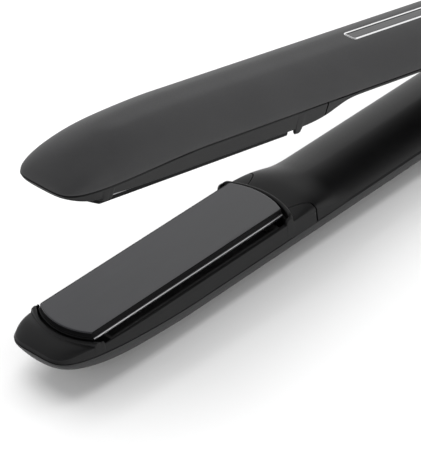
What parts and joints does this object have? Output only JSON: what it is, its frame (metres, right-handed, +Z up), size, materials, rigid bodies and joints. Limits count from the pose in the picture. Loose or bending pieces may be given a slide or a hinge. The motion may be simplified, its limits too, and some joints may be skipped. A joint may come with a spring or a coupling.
{
  "type": "hair straightener",
  "caption": "Slim black flat iron resting open on its back: two hinged arms with floating hot plates, power button, hinge spring and swivelling cord gland.",
  "frame": {"origin": "centre of the bounding box in plan, on the surface that the lower arm lies on", "axes": "+X from the nose back along the lower arm to the hinge and cord, +Y to the left across the arms, +Z up from the lower arm to the opened upper arm"},
  "size_m": [0.2778, 0.0344, 0.0911],
  "materials": {
    "shell": "fine-grained soft-touch matte black",
    "cover": "matte black moulding with a very fine grain",
    "handle": "satin black moulding",
    "plate": "black ceramic coating, polished",
    "ceramic": "bare white fired ceramic",
    "spring_steel": "bright spring steel",
    "screw_steel": "zinc-plated steel",
    "insulator": "dark glass-filled moulding",
    "silicone": "matte red-brown silicone",
    "lead": "off-white silicone-covered lead",
    "hinge": "matte black moulding",
    "gland": "matte black elastomer",
    "board": "green solder mask",
    "button": "polished black",
    "lens": "milky translucent light pipe, unlit",
    "chrome": "polished plated bezel",
    "smoked": "satin mid-grey panel"
  },
  "bodies": {
    "lower_arm": {"lower_outer_shell": "shell", "lower_plate_housing": "cover", "lower_handle_cover": "handle", "lower_plate_tray": "insulator", "lower_front_cushion": "silicone", "lower_rear_cushion": "silicone", "lower_front_tray_screw": "screw_steel", "lower_rear_tray_screw": "screw_steel", "lower_left_hinge_screw": "screw_steel", "lower_right_hinge_screw": "screw_steel", "lower_heater_lead": "lead", "lower_hinge_block": "hinge", "hinge_pin": "screw_steel", "hinge_cap_left": "hinge", "hinge_cap_right": "hinge", "circuit_board": "board", "board_front_screw": "screw_steel", "board_rear_screw": "screw_steel", "touch_switch": "insulator", "sounder": "insulator", "indicator_lens": "lens"},
    "upper_arm": {"upper_outer_shell": "shell", "upper_plate_housing": "cover", "upper_handle_cover": "handle", "upper_plate_tray": "insulator", "upper_front_cushion": "silicone", "upper_rear_cushion": "silicone", "upper_front_tray_screw": "screw_steel", "upper_rear_tray_screw": "screw_steel", "upper_left_hinge_screw": "screw_steel", "upper_right_hinge_screw": "screw_steel", "upper_heater_lead": "lead", "upper_hinge_knuckle": "hinge", "torsion_spring": "spring_steel", "inlay_bezel": "chrome", "inlay_panel": "smoked"},
    "lower_plate": {"lower_hot_plate": "plate", "lower_heater_element": "ceramic", "lower_element_clamp": "spring_steel", "lower_thermal_fuse": "ceramic"},
    "upper_plate": {"upper_hot_plate": "plate", "upper_heater_element": "ceramic", "upper_element_clamp": "spring_steel", "upper_thermal_fuse": "ceramic"},
    "power_button": {"power_button": "button"},
    "cord_gland": {"cord_gland": "gland"}
  },
  "joints": [
    {"name": "arm_hinge", "type": "hinge", "parent": "lower_arm", "child": "upper_arm", "pos_m": [0.1132, 0, 0.02305], "axis": [0, -1, 0], "range_deg": [0, 12.2], "stiffness_Nm_per_rad": 0.6, "springref_deg": -34.38},
    {"name": "lower_plate_float", "type": "slide", "parent": "lower_arm", "child": "lower_plate", "axis": [0, 0, -1], "range_m": [0, 0.001], "stiffness_N_per_m": 4000, "springref_m": -0.0005},
    {"name": "upper_plate_float", "type": "slide", "parent": "upper_arm", "child": "upper_plate", "axis": [0.2113, 0, 0.9774], "range_m": [0, 0.001], "stiffness_N_per_m": 4000, "springref_m": -0.0005},
    {"name": "power_button_press", "type": "slide", "parent": "lower_arm", "child": "power_button", "axis": [0, 0, -1], "range_m": [0, 0.0006], "stiffness_N_per_m": 2000, "springref_m": -0.0003},
    {"name": "cord_swivel", "type": "hinge", "parent": "lower_arm", "child": "cord_gland", "pos_m": [0.1274, 0, 0.01865], "axis": [1, 0, 0], "continuous": true}
  ]
}
